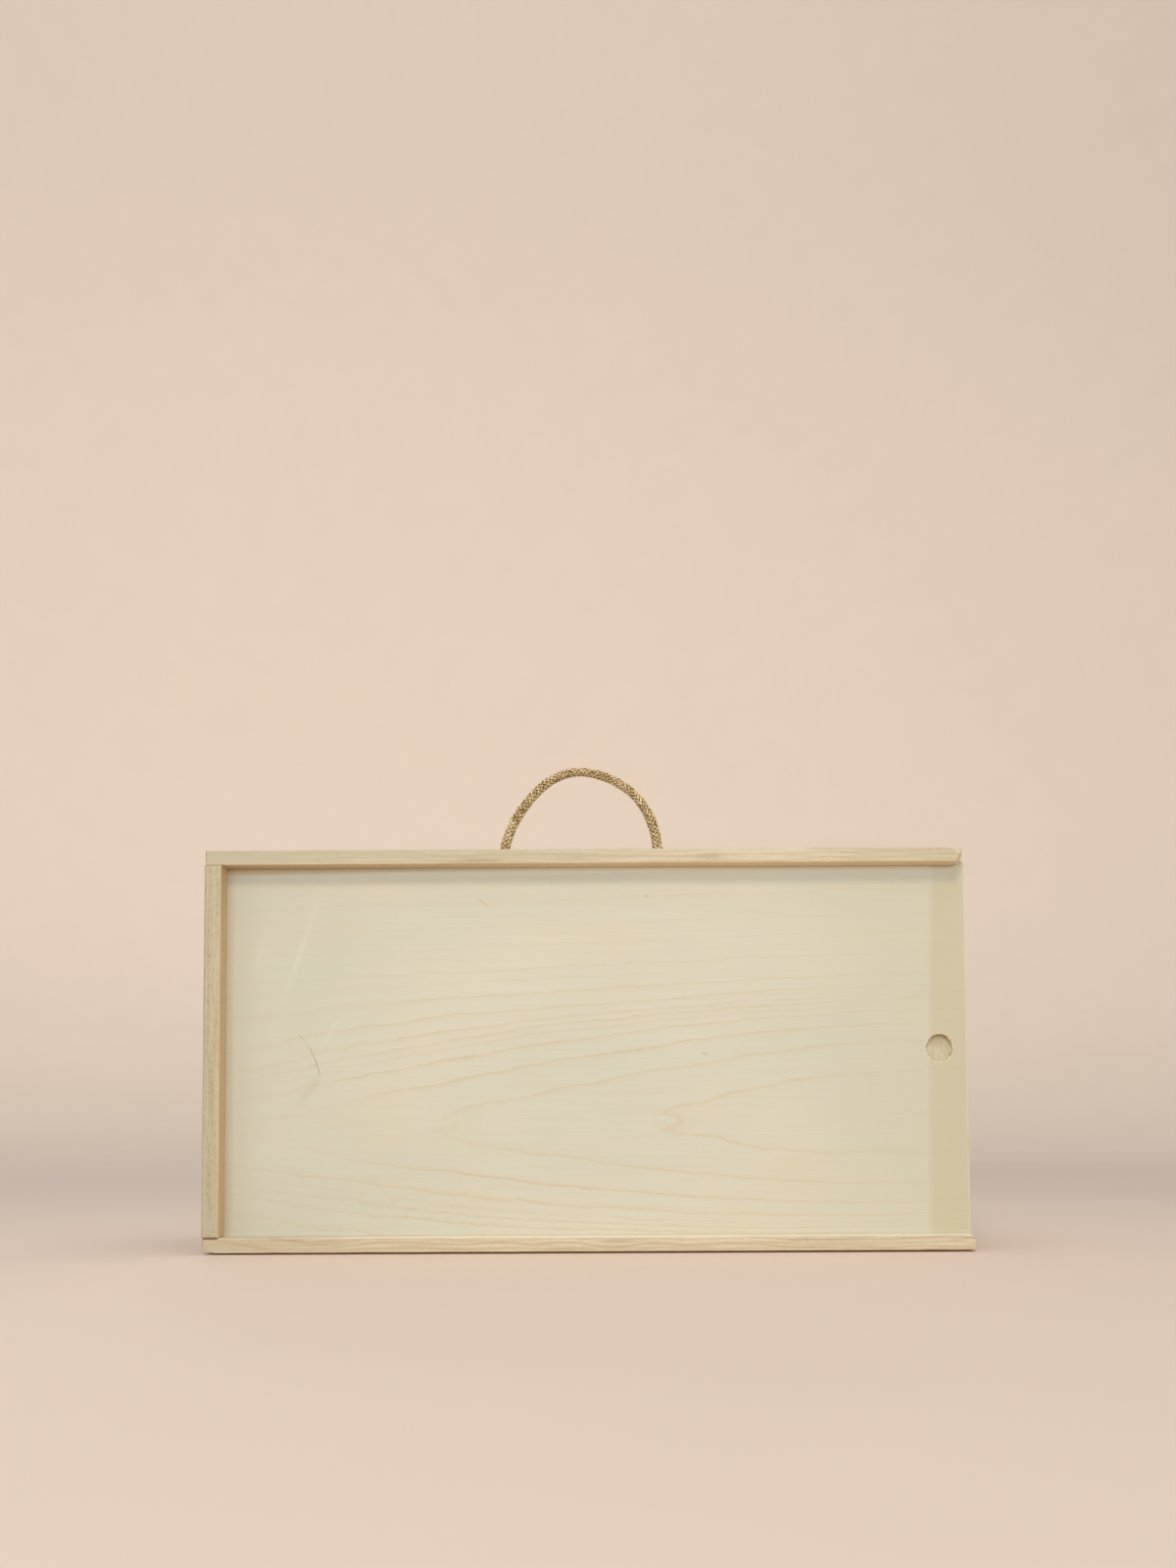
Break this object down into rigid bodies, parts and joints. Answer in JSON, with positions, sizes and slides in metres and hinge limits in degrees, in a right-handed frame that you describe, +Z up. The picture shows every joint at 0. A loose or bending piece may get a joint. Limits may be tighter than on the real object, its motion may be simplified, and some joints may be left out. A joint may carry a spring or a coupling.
{
  "type": "sliding lid box",
  "caption": "Thin-board wooden box standing on its long side, with a plywood lid that slides out sideways and a rope carrying handle.",
  "frame": {"origin": "centre of the base face, on the surface that the box stands on", "axes": "+X to the open end, where the lid slides out; +Y to the back panel, away from the lid; +Z up, to the rope handle"},
  "size_m": [0.3605, 0.098, 0.2411],
  "materials": {
    "pine_board": "raw planed softwood, unvarnished, open grain",
    "lid_plywood": "raw sanded plywood with a flat-sawn pale face veneer",
    "back_plywood": "raw sanded plywood",
    "nail_steel": "bright drawn steel wire, slightly dulled",
    "straw_rope": "coarse braided natural fibre, matt with dry glossy straws"
  },
  "bodies": {
    "case": {"top_board": "pine_board", "bottom_board": "pine_board", "closed_end_board": "pine_board", "open_end_board": "pine_board", "back_panel": "back_plywood", "top_left_brads": "nail_steel", "top_right_brads": "nail_steel", "bottom_left_brads": "nail_steel", "bottom_right_brads": "nail_steel", "back_panel_pins": "nail_steel", "rope_stem_left": "straw_rope", "rope_stem_right": "straw_rope", "rope_knot_left": "straw_rope", "rope_knot_right": "straw_rope"},
    "lid": {"sliding_lid": "lid_plywood"},
    "handle": {"rope_handle": "straw_rope"}
  },
  "joints": [
    {"name": "lid_slide", "type": "slide", "parent": "case", "child": "lid", "axis": [1, 0, 0], "range_m": [0, 0.345]},
    {"name": "handle_fold", "type": "hinge", "parent": "case", "child": "handle", "pos_m": [-0.003, 0, 0.1918], "axis": [1, 0, 0], "range_deg": [-85, 85], "stiffness_Nm_per_rad": 0.03}
  ]
}
